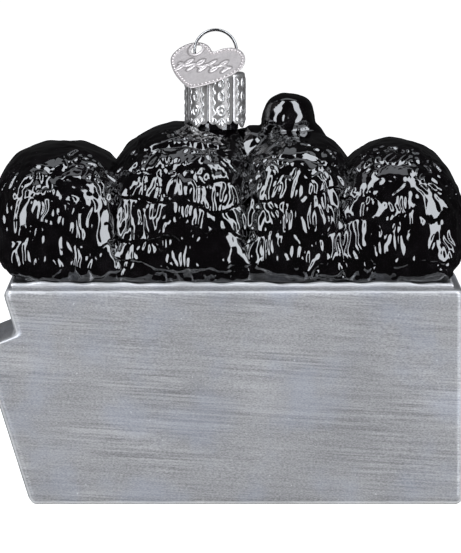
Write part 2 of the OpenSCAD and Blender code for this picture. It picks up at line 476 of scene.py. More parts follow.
@dataclass(frozen=True)
class SilverLacquer(Finish):
    """Silver lacquer put on with a soft brush along the cart, slightly uneven, with painted
    highlight on its edges and painted shade under its lip.

    Attributes:
        light: Colour of a full stroke.
        dark: Colour of a thin one.
        edge_painted_light: Colour of rubbed edges.
        cove_shade: Colour of the hollow under the lip.
        blue: Colour of the cool patches.
        metallic: How metallic it is.
        roughness: Its mean roughness.
        stroke_fall: How far the strokes fall to the high end, as a slope.
        stroke_depth: Depth of the strokes, in metres.
    """

    light: tuple = (0.577, 0.572, 0.574, 1)
    dark: tuple = (0.199, 0.197, 0.202, 1)
    edge_painted_light: tuple = (0.97, 0.97, 0.98, 1)
    cove_shade: tuple = (0.13, 0.128, 0.125, 1)
    blue: tuple = (0.37, 0.4, 0.48, 1)
    metallic: float = 0.55
    roughness: float = 0.42
    stroke_fall: float = 0.06
    stroke_depth: float = 0.05 * MM

    def surface(self, graph: Graph, place: Port) -> Port:
        """Lays strokes along the cart and round its ends.

        Args:
            graph: The material's graph.
            place: Object coordinates, in metres.

        Returns:
            The shader.
        """
        x, y, z = graph.xyz(place)
        level = z + self.stroke_fall * x
        broad = graph.noise(graph.vector(x * 60, y * 60, level * 1700), 1, 3, 1.0, 0.65)
        fine = graph.noise(graph.vector(x * 260, y * 260, level * 5200), 1, 3, 2.0, 0.6)
        grain = graph.noise(graph.vector(x * 2000, y * 2000, level * 5000), 1, 2, 6.0, 0.7)
        patches = graph.noise(place, 55, 3, 3.0)
        tint = graph.noise(place, 85, 3, 4.0).ramp(0.44, 0.66)
        specks = graph.noise(place, 1500, 1, 5.0).ramp(0.74, 0.8)
        loaded = graph.noise(graph.vector(x * 40, y * 40, level * 130), 1, 2, 7.0)
        strokes = ((broad * 0.5 + fine * 0.5 - 0.5) * 2.2 * (0.25 + loaded * 1.3)) + 0.5
        lines = graph.noise(graph.vector(x * 30, y * 30, level * 2900), 1, 2, 8.0, 0.5)
        streaks = ((lines - 0.5) * 9).call("TANH") * loaded.ramp(0.42, 0.6)
        tone = (strokes * 0.6 + (patches - 0.5) * 0.3 + (grain - 0.5) * 1.6 + specks * 0.8
                - streaks * 0.2 + 0.07).clamp()
        base = graph.mix_colour(tone, self.dark, self.light)
        base = graph.mix_colour(tint * 0.34, base, self.blue)
        # The edge mark carries painted light: above 0 a painted highlight on the rounded edges
        # and the lip's crest, broken up by noise; below 0 painted shade in the hollow under the
        # lip
        edge = graph.node("ShaderNodeAttribute", {"attribute_name": "edge"}, output="Fac")
        # Painted highlight: the edges are whitened where the edge mark is above 0
        edge_highlight = (edge * (0.2 + fine * 0.7 + patches * 0.7)).ramp(0.15, 0.9)
        base = graph.mix_colour(edge_highlight * 0.6, base, self.edge_painted_light)
        # Painted shade: darkens the hollow under the lip, where the edge mark is below 0
        base = graph.mix_colour((edge * -1.0).ramp(0.2, 0.9) * 0.8, base, self.cove_shade)
        rough = self.roughness + (strokes - 0.5) * 0.16 + (patches - 0.5) * 0.2 - edge_highlight * 0.08
        height = broad * 0.5 + fine * 0.35 + grain * 0.3 + specks * 0.3
        normal = graph.node("ShaderNodeBump", None, {
            "Height": height, "Strength": 0.55, "Distance": self.stroke_depth})
        return graph.node("ShaderNodeBsdfPrincipled", None, {
            "Base Color": base, "Roughness": rough, "Metallic": self.metallic,
            "Normal": normal})


@dataclass(frozen=True)
class BlackLacquer(Finish):
    """Thick black lacquer with a wet gloss and a slight orange peel.

    Attributes:
        deep: Its colour where it is clean.
        dusty: Its colour under dust.
        roughness: Its least roughness.
        peel_depth: Depth of the peel, in metres.
    """

    deep: tuple = (0.0008, 0.0005, 0.0007, 1)
    dusty: tuple = (0.0035, 0.0028, 0.0034, 1)
    roughness: float = 0.07
    peel_depth: float = 0.02 * MM

    def surface(self, graph: Graph, place: Port) -> Port:
        """Varies dust and peel under the gloss of a clear coat.

        Args:
            graph: The material's graph.
            place: Object coordinates, in metres.

        Returns:
            The shader.
        """
        dust = graph.noise(place, 260, 4, 1.0).ramp(0.45, 0.75)
        peel = graph.noise(place, 1400, 2, 2.0)
        base = graph.mix_colour(dust, self.deep, self.dusty)
        rough = self.roughness + dust * 0.05
        normal = graph.node("ShaderNodeBump", None, {
            "Height": peel, "Strength": 0.35, "Distance": self.peel_depth})
        return graph.node("ShaderNodeBsdfPrincipled", None, {
            "Base Color": base, "Roughness": rough, "IOR": 1.6,
            "Coat Weight": 1.0, "Coat Roughness": 0.03, "Coat IOR": 1.6, "Normal": normal})


@dataclass(frozen=True)
class SilveredGlass(Finish):
    """Bare glass with the silvering seen through it.

    Attributes:
        bright: Colour of full silvering.
        dull: Colour of thin silvering.
        black: Colour of the coal's lacquer.
        black_to: Height that the lacquer runs up to, in metres.
    """

    bright: tuple = (0.83, 0.84, 0.86, 1)
    dull: tuple = (0.55, 0.55, 0.56, 1)
    black: tuple = (0.005, 0.004, 0.005, 1)
    black_to: float = 80.2 * MM

    def surface(self, graph: Graph, place: Port) -> Port:
        """Thins the silvering in patches, and runs the coal's lacquer up the foot.

        Args:
            graph: The material's graph.
            place: Object coordinates, in metres.

        Returns:
            The shader.
        """
        thin = graph.noise(place, 320, 3, 1.0).ramp(0.5, 0.7)
        wander = (graph.noise(place, 500, 2, 2.0) - 0.5) * 1.2 * MM
        height = graph.xyz(place)[2] + wander
        bare = height.ramp(self.black_to - 0.1 * MM, self.black_to + 0.1 * MM)
        base = graph.mix_colour(thin, self.bright, self.dull)
        base = graph.mix_colour(bare, self.black, base)
        return graph.node("ShaderNodeBsdfPrincipled", None, {
            "Base Color": base, "Metallic": bare * 0.9, "Roughness": 0.1 + thin * 0.15,
            "Coat Weight": 1.0})


@dataclass(frozen=True)
class StampedMetal(Finish):
    """Bright plated sheet, toned where the stamping is low.

    Attributes:
        bright: Colour of the rubbed heights.
        toned: Colour of the lows.
        roughness: Its mean roughness.
        metallic: How metallic it is.
    """

    bright: tuple = (0.76, 0.745, 0.735, 1)
    toned: tuple = (0.31, 0.295, 0.285, 1)
    roughness: float = 0.28
    metallic: float = 0.85

    def surface(self, graph: Graph, place: Port) -> Port:
        """Tones the sheet by the pieces' recess mark, 1 where the sheet is low.

        Args:
            graph: The material's graph.
            place: Object coordinates, in metres.

        Returns:
            The shader.
        """
        low = graph.node("ShaderNodeAttribute", {"attribute_name": "recess"}, output="Fac")
        wear = graph.noise(place, 1300, 4, 1.0)
        scratches = graph.noise(place, 5200, 2, 2.0)
        dents = graph.noise(place, 380, 1, 3.0)
        tone = (low * 1.1 + (wear - 0.5) * 0.5).clamp()
        base = graph.mix_colour(tone, self.bright, self.toned)
        rough = self.roughness + tone * 0.2 + (wear - 0.5) * 0.18
        normal = graph.node("ShaderNodeBump", None, {
            "Height": scratches * 0.4 + wear + dents * 7.0, "Strength": 0.3,
            "Distance": 0.03 * MM})
        return graph.node("ShaderNodeBsdfPrincipled", None, {
            "Base Color": base, "Metallic": self.metallic, "Roughness": rough,
            "Normal": normal})


@dataclass(frozen=True)
class SpringSteel(Finish):
    """Drawn wire with fine die lines and faint grey scale."""

    bright: tuple = (0.5, 0.5, 0.5, 1)
    grey: tuple = (0.2, 0.2, 0.21, 1)

    def surface(self, graph: Graph, place: Port) -> Port:
        """Lays flecks of scale and fine lines over the wire.

        Args:
            graph: The material's graph.
            place: Object coordinates, in metres.

        Returns:
            The shader.
        """
        flecks = graph.noise(place, 900, 4, 1.0).ramp(0.42, 0.72)
        lines = graph.noise(place, 6000, 2, 2.0)
        base = graph.mix_colour(flecks, self.bright, self.grey)
        normal = graph.node("ShaderNodeBump", None, {
            "Height": lines, "Strength": 0.25, "Distance": 0.02 * MM})
        return graph.node("ShaderNodeBsdfPrincipled", None, {
            "Base Color": base, "Metallic": 1.0, "Roughness": 0.16 + flecks * 0.2,
            "Normal": normal})


@dataclass
class Assembly:
    """A group of pieces that share a body, a slot and a finish."""

    body: ClassVar[Body]
    slot: ClassVar[Slot]
    pieces: list[bpy.types.Object] = field(default_factory=list, init=False)

    def build(self) -> None:
        """Makes and dresses the pieces."""
        raise NotImplementedError

    def report(self) -> None:
        """Says what each piece is called and how many triangles it has."""
        for piece in self.pieces:
            piece.data.calc_loop_triangles()
            LOG.info("%s: %d triangles", piece.name, len(piece.data.loop_triangles))

    def dress(self, piece: bpy.types.Object, *nodes: str) -> bpy.types.Object:
        """Parents a finished piece to its body, hides the CAD nodes that it stands for and lists
        it.

        Args:
            piece: The piece.
            nodes: The CAD nodes that it stands for.

        Returns:
            The piece.
        """
        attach(piece, self.body.value)
        if nodes:
            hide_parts(*nodes)
        self.pieces.append(piece)
        return piece


# ------------------------------------------------------------------ the tub


@dataclass(frozen=True)
class CartRelief:
    """The moulded frame and wheels on the far wall, in millimetres.

    Attributes:
        height: How far a full mark of 1 stands out.
        left_in: From the notch to the frame.
        right_in: From the high end to the frame.
        top_in: From the rim to the frame.
        band: Half the height of the band under the rim.
        sill_z: Height of the sill's middle.
        rib: Half the width of a rib and of the sill.
        ribs: How many ribs there are.
        rivets: How many rivets a rib has.
        rivet_r: Radius of a rivet.
        apart: From the middle to each wheel.
        wheel_z: Height of the wheels' middles.
        rim_r: Radius of a wheel's rim, in its middle.
        hub_r: Radius of a hub.
        spokes: How many spokes a wheel has.
        spoke: Half the width of a spoke.
        clear_r: Where the frame starts again outside a wheel.
        soft: How far an edge takes to rise, each way.
    """

    height: float = 1.15
    left_in: float = 3.4
    right_in: float = 3.6
    top_in: float = 3.6
    band: float = 2.0
    sill_z: float = 13.5
    rib: float = 1.5
    ribs: int = 4
    rivets: int = 5
    rivet_r: float = 0.95
    apart: float = 24.0
    wheel_z: float = 10.1
    rim_r: float = 8.5
    hub_r: float = 2.4
    spokes: int = 6
    spoke: float = 0.7
    clear_r: float = 9.9
    soft: float = 0.35

    def bar(self, distance: np.ndarray, half: float) -> np.ndarray:
        """A raised bar: 1 within half its width of its middle, with soft edges."""
        return smooth_step(half - np.abs(distance), -self.soft, self.soft)

    @staticmethod
    def dome(reach: np.ndarray, radius: float) -> np.ndarray:
        """A round head, 1 at its middle."""
        return np.sqrt(np.clip(1 - (reach / radius) ** 2, 0, 1))

    def bands(self, x: np.ndarray, z: np.ndarray, left: float, right: float,
              top: float) -> np.ndarray:
        """The band, the sill and the riveted ribs.

        Args:
            x: Places along the cart.
            z: Their heights.
            left: The frame's low end.
            right: The frame's high end.
            top: The frame's top.

        Returns:
            The mark at each place, mostly 0 to 1.
        """
        span = self.bar(x - (left + right) / 2, (right - left) / 2)
        out = 0.9 * span * self.bar(z - (top - self.band), self.band)
        out = np.maximum(out, 0.8 * span * self.bar(z - self.sill_z, self.rib))
        foot = self.sill_z - self.rib
        for rib in np.linspace(left + self.rib, right - self.rib, self.ribs):
            upright = self.bar(x - rib, self.rib) * self.bar(z - (top + foot) / 2,
                                                             (top - foot) / 2)
            out = np.maximum(out, 0.85 * upright)
            for rivet in np.linspace(17, top - 6, self.rivets):
                reach = np.hypot(x - rib, z - rivet)
                out = np.maximum(out, 1.15 * self.dome(reach, self.rivet_r))
        return out

    def wheel(self, dx: np.ndarray, dz: np.ndarray) -> np.ndarray:
        """A spoked wheel with a domed boss.

        Args:
            dx: Places along the cart from the wheel's middle.
            dz: Their heights over it.

        Returns:
            The mark at each place, mostly 0 to 1.
        """
        reach, angle = np.hypot(dx, dz), np.arctan2(dz, dx)
        out = np.maximum(self.bar(reach - self.rim_r, 1.0),
                         smooth_step(self.hub_r - reach, -self.soft, self.soft))
        inside = reach < self.rim_r + 0.1
        for k in range(self.spokes):
            turn = angle - k * 2 * math.pi / self.spokes
            ahead = reach * np.cos(turn) > 0
            spoke = 0.8 * self.bar(reach * np.sin(turn), self.spoke)
            out = np.maximum(out, spoke * inside * ahead)
        return out + 0.05 * self.dome(reach, 1.3)

    def lift(self, x: np.ndarray, z: np.ndarray, left: float, right: float,
             top: float) -> np.ndarray:
        """How far the relief stands out over the wall.

        Args:
            x: Places along the cart.
            z: Their heights.
            left: The low end of the wall's level part.
            right: Its high end.
            top: The rim.

        Returns:
            Millimetres over the wall at each place.
        """
        left, right, top = left + self.left_in, right - self.right_in, top - self.top_in
        out = self.bands(x, z, left, right, top)
        for side in (-1, 1):
            dx, dz = x - ((left + right) / 2 + side * self.apart), z - self.wheel_z
            reach = np.hypot(dx, dz)
            clear = smooth_step(reach, self.clear_r - 0.4, self.clear_r)
            out = np.where(reach < self.clear_r, out * clear, out)
            out = np.maximum(out, self.wheel(dx, dz))
        return self.height * np.minimum(out, 1.04)


@dataclass
class CartTub(Assembly):
    """The silver tub: a stack of rounded plans, with moulded relief at +Y.

    Attributes:
        box: Its CAD box.
        finish: Its lacquer.
        relief: The marks on the far wall.
        corner_r: Radius of its upright corners.
        least_r: The least radius that a drawn-in corner keeps.
        edge_r: Radius of the edges round the underside and under the lip.
        toe_x: How far the low end slopes in from the ledge down.
        ledge_z: Height of the ledge's root.
        ledge_fall: How far the ledge falls to its tip.
        ledge_run: How far it runs out over that fall.
        climb_below: How far under ledge_z the rows are drawn together.
        notch_x: From the box's low end to the ledge's root.
        slope_out: How far the slope stands out past the line of toe_x.
        side_lean: How far the side over the ledge leans out.
        side_top: How far under the rim that lean is measured.
        side_tuck: How sharply that side tucks in under the lip.
        tuck_from: How far under the rim the tuck starts.
        tuck_over: How high it goes on.
        end_share: Share of an inset that the low end takes.
        lip_in: How far in the lip stands.
        lip_h: Height of the hollow under the lip.
        crest_r: Radius of the lip's crest.
        edge_drop: From the rim down to the edge under the lip.
        wall_rows: Rows of corners up the wall.
        side_steps: Faces along the high end, far side, low end and near side.
    """

    box: Box
    finish: bpy.types.Material
    relief: CartRelief = CartRelief()
    corner_r: float = 1.8
    least_r: float = 0.35
    edge_r: float = 1.7
    toe_x: float = 10.2
    ledge_z: float = 35.6
    ledge_fall: float = 2.9
    ledge_run: float = 7.5
    climb_below: float = 1.4
    notch_x: float = 7.0
    slope_out: float = 0.3
    side_lean: float = 2.1
    side_top: float = 3.0
    side_tuck: float = 0.12
    tuck_from: float = 2.6
    tuck_over: float = 2.4
    end_share: float = 0.62
    lip_in: float = 2.2
    lip_h: float = 0.5
    crest_r: float = 0.7
    edge_drop: float = 0.35
    wall_rows: int = 112
    side_steps: tuple = (64, 310, 64, 190)
    body: ClassVar[Body] = Body.GLASS
    slot: ClassVar[Slot] = Slot.SILVER

    @property
    def edge_z(self) -> float:
        """Height of the rounded edge's top, under the lip."""
        return self.box.high[2] - self.edge_drop

    def low_end(self, z: Values) -> Values:
        """Where the low end's outline is: a slope, a ledge and a short side.

        Args:
            z: Heights.

        Returns:
            X at each height.
        """
        low, top = self.box.low[0], self.box.high[2]
        tip_z = self.ledge_z - self.ledge_fall
        slope = low + self.toe_x * (1 - z / tip_z) - self.slope_out
        notch = low + self.notch_x
        ledge = notch - (self.ledge_z - z) * self.ledge_run / self.ledge_fall
        lean = (z - self.ledge_z) * self.side_lean / (top - self.ledge_z - self.side_top)
        tuck = self.side_tuck * np.clip(z - top + self.tuck_from, 0, self.tuck_over) ** 2
        return smooth_min(smooth_max(slope, ledge, 1.1), notch - lean + tuck, 0.8)

    def profile(self) -> np.ndarray:
        """Steps from the middle of the underside, up the wall, to the lip.

        Returns:
            Rows of height and inset.
        """
        top, r = self.edge_z, self.edge_r
        turn = np.linspace(0, math.pi / 2, 9)
        foot = np.stack([r - r * np.cos(turn), r - r * np.sin(turn)], axis=-1)
        wall = np.linspace(r, top - r, self.wall_rows)[1:-1]
        # The ledge climbs little over its length, so its rows lie closer
        over = wall - (self.ledge_z - self.climb_below)
        wall = np.sort(wall - 1.2 * np.exp(-(over / 3.2) ** 2) * np.tanh(over / 1.5))
        face = np.stack([wall, np.zeros_like(wall)], axis=-1)
        edge = np.stack([top - r + r * np.sin(turn), r - r * np.cos(turn)], axis=-1)
        fillet = np.stack([top + self.lip_h * (1 - np.cos(turn)),
                           r + (self.lip_in - r) * np.sin(turn)], axis=-1)
        crest = np.stack([top + self.lip_h + self.crest_r * np.sin(turn),
                          self.lip_in + self.crest_r * (1 - np.cos(turn))], axis=-1)
        close = np.array([[top + 0.2, self.lip_in + 1.5]])
        return np.concatenate([foot, face, edge, fillet[1:], crest[1:], close])

    def ring(self, z: float, inset: float) -> np.ndarray:
        """One level plan, a rectangle with rounded corners.

        Args:
            z: Its height.
            inset: How far it is drawn in from the walls.

        Returns:
            The corners of the ring.
        """
        left = float(self.low_end(np.array(z))) + inset * self.end_share
        right = self.box.high[0] - inset
        near, far = self.box.low[1] + inset, FAR_WALL_Y - inset
        r = max(self.corner_r - inset, self.least_r)
        turn = np.linspace(0, math.pi / 2, 9)[:-1]
        corners = [(right - r, near + r, -math.pi / 2), (right - r, far - r, 0),
                   (left + r, far - r, math.pi / 2), (left + r, near + r, math.pi)]
        out = []
        for k, (cx, cy, start) in enumerate(corners):
            nx, ny, begin = corners[(k + 1) % 4]
            arc = np.stack([cx + r * np.cos(start + turn), cy + r * np.sin(start + turn)], -1)
            first = np.array([cx + r * math.cos(start + math.pi / 2),
                              cy + r * math.sin(start + math.pi / 2)])
            last = np.array([nx + r * math.cos(begin), ny + r * math.sin(begin)])
            t = np.linspace(0, 1, self.side_steps[k] + 1)[:-1, None]
            out += [arc, first * (1 - t) + last * t]
        plan = np.concatenate(out)
        return np.column_stack([plan, np.full(len(plan), z)])

    def in_cove(self, points: np.ndarray) -> np.ndarray:
        """Which corners lie in the hollow under the lip."""
        over = points[:, 2] - self.edge_z
        return (over > 0.02) & (over < self.lip_h * 0.9)

    def build(self) -> None:
        """Makes the tub as one closed stack."""
        rows = self.profile()
        rings = np.stack([self.ring(z, inset) for z, inset in rows])
        x, y, z = rings[..., 0], rings[..., 1], rings[..., 2]
        top = self.box.high[2]
        flat = y > FAR_WALL_Y - 0.01
        y[flat] += self.relief.lift(x[flat], z[flat], self.box.low[0] + self.notch_x,
                                    self.box.high[0], top)
        # The paint's edge on the coal wanders up and down
        lip = smooth_step(z, top + 0.05, top + 0.6)
        along = x + 1.7 * y
        z += lip * (0.13 * np.sin(along / 2.3) + 0.1 * np.sin(along / 0.93 + 1)
                    + 0.08 * np.sin(along / 5.1 + 2))
        # Blown glass is never quite flat
        swell = (0.1 * np.sin(x / 9.5 + 0.7) * np.sin(z / 8 + 0.4)
                 + 0.05 * np.sin(x / 4.1 + z / 6.3)) * smooth_step(z, 2, 6) * (1 - lip)
        y += np.where(y < 0, np.abs(swell), 0) * smooth_step(-y, 20, 20.9)
        points, faces = stack_mesh(rings)
        tub = mesh_piece("tub_silver_glass", points, faces)
        # The edge mark places painted light: a painted highlight on the rounded edges and the
        # lip's crest, and painted shade (negative values) in the hollow under the lip
        lean = np.empty(len(points) * 3, dtype=np.float32)
        tub.data.vertices.foreach_get("normal", lean)
        bevel = np.clip((0.92 - np.abs(lean.reshape(-1, 3)).max(axis=1)) * 5, 0, 1)
        edge_painted_light = np.where(self.in_cove(points), -bevel, bevel)
        on_lip = points[:, 2] > self.edge_z + self.lip_h * 0.9
        mark(tub.data, "edge", np.where(on_lip, 0.9, edge_painted_light))
        tub.data.materials.append(self.finish)
        self.dress(tub, "tub_glass")


# ----------------------------------------------------------------- the coal


@dataclass(frozen=True)
class Ball:
    """A round swelling that is part of a lump, in millimetres.

    Attributes:
        x: Its place along the cart.
        top: Height of its crown.
        radius: Its radius in plan.
        share: Its height as a share of a full ball's.
    """

    x: float
    top: float
    radius: float
    share: float = 1.0


@dataclass(frozen=True)
class Lump:
    """One lump of the heap.

    Attributes:
        node: Its CAD node.
        top: Height of its crown.
        low_over: How far it runs on under its neighbour at the low end.
        high_over: The same at the high end.
        low_power: Fullness of its shoulder towards the low end.
        high_power: The same towards the high end.
        seed: Seed of its rough surface.
        row: Height of a row of flutes.
        shingle: How far a row stands out over the one below it.
        bare: Share of the surface that stays smooth, from 0 to 1.
        flute: Length of a flute.
        balls: Swellings that are blended into it.
    """

    node: str
    top: float
    low_over: float
    high_over: float
    low_power: float
    high_power: float
    seed: float
    row: float = 8.0
    shingle: float = 0.45
    bare: float = 0.4
    flute: float = 4.2
    balls: tuple = ()


@dataclass
class CoalHeap(Assembly):
    """Four lumps of lacquered coal, whose lower edges square up to the tub.

    Attributes:
        tub: The tub's CAD box.
        neck: The neck's.
        cap: The cap's.
        finish: The coal's lacquer.
        lumps: The lumps, from the low end.
        foot_in: From the tub's walls in to the foot of the heap.
        foot_z: Height of the foot, inside the lip.
        flare_h: How far up the long sides flare out.
        end_flare_h: The same for the ends.
        belly_h: From the rim up to the widest level.
        half_depth: Half the heap's depth there.
        skin: Room for roughness inside the CAD box at the ends.
        voxel: Size of the even mesh's faces.
        end_foot_in: From the tub's low end in to the foot.
        flare_from: How far under the foot a flare begins.
        foot_draw: Share by which a plan is drawn in at the rim.
        foot_power: Squareness of the plan at the foot.
        waist_power: Squareness at the widest level.
        crown_power: Fullness of a crown from side to side.
        crown_round: How much of the squareness a crown loses.
        knob_z: Height over which the middle is rough too, as on the knob.
        roof_slope: Steepness of the clear room round the cap.
        sides: Corners in a plan.
    """

    tub: Box
    neck: Box
    cap: Box
    finish: bpy.types.Material
    lumps: tuple[Lump, ...]
    foot_in: float = 2.7
    foot_z: float = 45.8
    flare_h: float = 4.0
    end_flare_h: float = 7.2
    belly_h: float = 13.6
    half_depth: float = 20.2
    skin: float = 0.55
    voxel: float = 0.28
    end_foot_in: float = 6.8
    flare_from: float = 0.6
    foot_draw: float = 0.035
    foot_power: float = 9.0
    waist_power: float = 3.3
    crown_power: float = 2.3
    crown_round: float = 0.9
    knob_z: float = 76.5
    roof_slope: float = 3.5
    sides: int = 160
    body: ClassVar[Body] = Body.GLASS
    slot: ClassVar[Slot] = Slot.BLACK

    def rings(self, lump: Lump) -> np.ndarray:
        """The plain form of a lump as a stack of rounded plans.

        Args:
            lump: The lump.

        Returns:
            Corners as an array of rings by sides by 3.
        """
        box = Box.of(lump.node)
        rim = self.tub.high[2]
        waist = rim + self.belly_h
        belly = np.array([box.low[0] - lump.low_over + (0 if lump.low_over else self.skin),
                          box.high[0] + lump.high_over - (0 if lump.high_over else self.skin)])
        foot = np.array([max(belly[0], self.tub.low[0] + self.end_foot_in),
                         min(belly[1], self.tub.high[0] - self.foot_in)])
        foot_y = np.array([self.tub.low[1] + self.foot_in, FAR_WALL_Y - self.foot_in])
        belly_y = np.array([-self.half_depth, self.half_depth])
        low, flared = self.foot_z - self.flare_from, self.foot_z + self.flare_h
        levels = np.concatenate([np.linspace(self.foot_z, flared, 22),
                                 np.linspace(flared, waist, 24)[1:]])
        squared = self.foot_power - self.waist_power
        out = []
        for z in levels:
            flare = float(smooth_step(z, low, flared))
            end_flare = float(smooth_step(z, low, self.foot_z + self.end_flare_h))
            draw = 1 - self.foot_draw * ((waist - z) / self.belly_h) ** 2
            power = self.foot_power - squared * float(
                smooth_step(z, self.foot_z, rim + self.belly_h * 0.8))
            out.append(self._ring(z, foot + (belly - foot) * end_flare,
                                  foot_y + (belly_y - foot_y) * flare, (draw,) * 3, power))
        for turn in np.linspace(0, math.pi / 2, 44)[1:-1]:
            rise = math.sin(turn) ** (2 / self.crown_power)
            shares = tuple((1 - rise ** power) ** (1 / power)
                           for power in (lump.low_power, lump.high_power, self.crown_power))
            z = waist + (lump.top - waist) * rise
            out.append(self._ring(z, belly, belly_y, shares,
                                  self.waist_power - self.crown_round * rise))
        return np.stack(out)

    def _ring(self, z: float, across: np.ndarray, along: np.ndarray, shares: tuple,
              power: float) -> np.ndarray:
        """A plan between a circle and a rectangle.

        Args:
            z: Its height.
            across: Where it ends along X.
            along: Where it ends along Y.
            shares: How far it reaches towards low X, high X and both ends of Y.
            power: 2 for an ellipse, and more for squarer corners.

        Returns:
            The corners of the ring.
        """
        side = 2 * math.pi * np.arange(self.sides) / self.sides
        ends = np.where(np.cos(side) < 0, shares[0], shares[1])
        x = across.mean() + np.ptp(across) / 2 * ends * signed_power(np.cos(side), 2 / power)
        y = along.mean() + np.ptp(along) / 2 * shares[2] * signed_power(np.sin(side), 2 / power)
        return np.stack([x, y, np.full_like(side, z)], axis=-1)

    @staticmethod
    def ball_mesh(ball: Ball) -> Mesh:
        """A ball on a widening foot.

        Args:
            ball: Its sizes.

        Returns:
            The corners and the faces.
        """
        turn = np.linspace(-math.pi / 2, math.pi / 2, 40)[1:-1]
        side = 2 * math.pi * np.arange(64) / 64
        reach = ball.radius * np.cos(turn) * (1 + 0.3 * smooth_step(-np.sin(turn), -0.2, 1))
        height = ball.top + ball.share * ball.radius * (np.sin(turn) - 1)
        rings = np.stack([reach[:, None] * np.cos(side) + ball.x, reach[:, None] * np.sin(side),
                          np.broadcast_to(height[:, None], (len(turn), len(side)))], axis=-1)
        return stack_mesh(rings)

    def relief_tool(self, lump: Lump) -> GeometryTool:
        """A tree that carves a lump along its normals: flutes in uneven rows.

        Args:
            lump: The lump.

        Returns:
            The tree, ready to run.
        """
        tool = GeometryTool(f"relief_of_{lump.node}", {
            "Flute depth": 0.33, "Flute width": 1.25, "Flute length": lump.flute,
            "Row height": lump.row, "Shingle": lump.shingle, "Swell": 1.3,
            "Bare share": lump.bare, "Neck X": float(self.neck.middle[0]),
            "Clear radius": 6.8, "Clear height": float(self.cap.low[2]) - 0.35,
            "Seed": lump.seed})
        x, y, z = (part / MM for part in tool.xyz(tool.node("GeometryNodeInputPosition")))
        normal = tool.xyz(tool.node("GeometryNodeInputNormal"))
        seed, width = tool.input("Seed"), tool.input("Flute width")
        spot = tool.vector(x, y, z)
        # Rows of flutes rise and fall round the lump, and the flutes lean in them
        wander = ((tool.noise(spot, 0.09, 1, seed + 11) - 0.5) * 14
                  + (tool.noise(spot, 0.4, 1, seed + 13) - 0.5) * 3)
        rows = (z + wander) / tool.input("Row height")
        row, t = rows.call("FLOOR"), rows.call("FRACT")
        sway = (tool.noise(spot, 0.17, 1, seed + 5) - 0.5) * 5
        grain = tool.vector((x + sway) / width, (y + sway) / width,
                            z / tool.input("Flute length"))
        flute = ((tool.noise(grain, 1, 0.3, seed + row * 7.3) - 0.5) * 7).call("TANH")
        fade = (t * (1 - t) * 4) ** 0.4
        # Some places stay bare, and so does the ridge along the top, up to the knob
        bare = tool.noise(spot, 0.13, 0.5, seed + 17)
        flutes = (bare - (tool.input("Bare share") - 0.5) * 0.3).ramp(0.42, 0.5)
        step = (1 - t) * t.ramp(0.0, 0.16)
        swell = tool.noise(spot, 0.2, 1, seed + 7) - 0.5
        knob = (z - self.knob_z).call("MAXIMUM", 0.0)
        side = (y.call("ABSOLUTE") + (bare - 0.5) * 9 + knob * 0.8).ramp(5.0, 11.5)
        foot = z.ramp(self.foot_z + 0.1, self.foot_z + 1.6)
        height = (flute * tool.input("Flute depth") * fade * (flutes * 0.88 + 0.12) * side
                  + (step - 0.4) * tool.input("Shingle") * side
                  + swell * tool.input("Swell"))
        height = height * (0.2 + 0.8 * foot) * MM
        moved = [part * MM + height * lean for part, lean in zip((x, y, z), normal)]
        # Nothing rises into the cap's room over the neck
        reach = ((x - tool.input("Neck X")) ** 2 + y ** 2) ** 0.5
        rise = (reach - tool.input("Clear radius")).call("MAXIMUM", 0.0)
        roof = (tool.input("Clear height") + rise * self.roof_slope) * MM
        moved[2] = moved[2].call("MINIMUM", roof)
        values = {"Geometry": tool.input("Geometry"), "Position": tool.vector(*moved)}
        tool.finish(tool.node("GeometryNodeSetPosition", None, values), self.finish)
        return tool

    def build(self) -> None:
        """Makes each lump: plain form, even mesh, then its rough surface."""
        for lump in self.lumps:
            points, faces = stack_mesh(self.rings(lump))
            for ball in lump.balls:
                extra, more = self.ball_mesh(ball)
                faces = np.concatenate([faces, more + len(points)])
                points = np.concatenate([points, extra])
            piece = mesh_piece(lump.node.replace("lump", "coal"), points, faces)
            remesh = piece.modifiers.new("even", "REMESH")
            remesh.mode = "VOXEL"
            remesh.voxel_size = self.voxel * MM
            remesh.use_smooth_shade = True
            soften = piece.modifiers.new("soften", "SMOOTH")
            soften.factor = 0.5
            soften.iterations = 30
            apply_modifiers(piece)
            self.relief_tool(lump).run(piece)
            piece.data.shade_smooth()
            self.dress(piece, lump.node)


@dataclass
class GlassNeck(Assembly):
    """The bare neck under the cap, which keeps its CAD form."""

    finish: bpy.types.Material
    body: ClassVar[Body] = Body.GLASS
    slot: ClassVar[Slot] = Slot.SILVERED

    def build(self) -> None:
        """Gives the CAD node its finish."""
        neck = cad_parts["neck_glass"]
        neck.data.materials.clear()
        neck.data.materials.append(self.finish)
        self.pieces.append(neck)


# ------------------------------------------------------------------ the cap


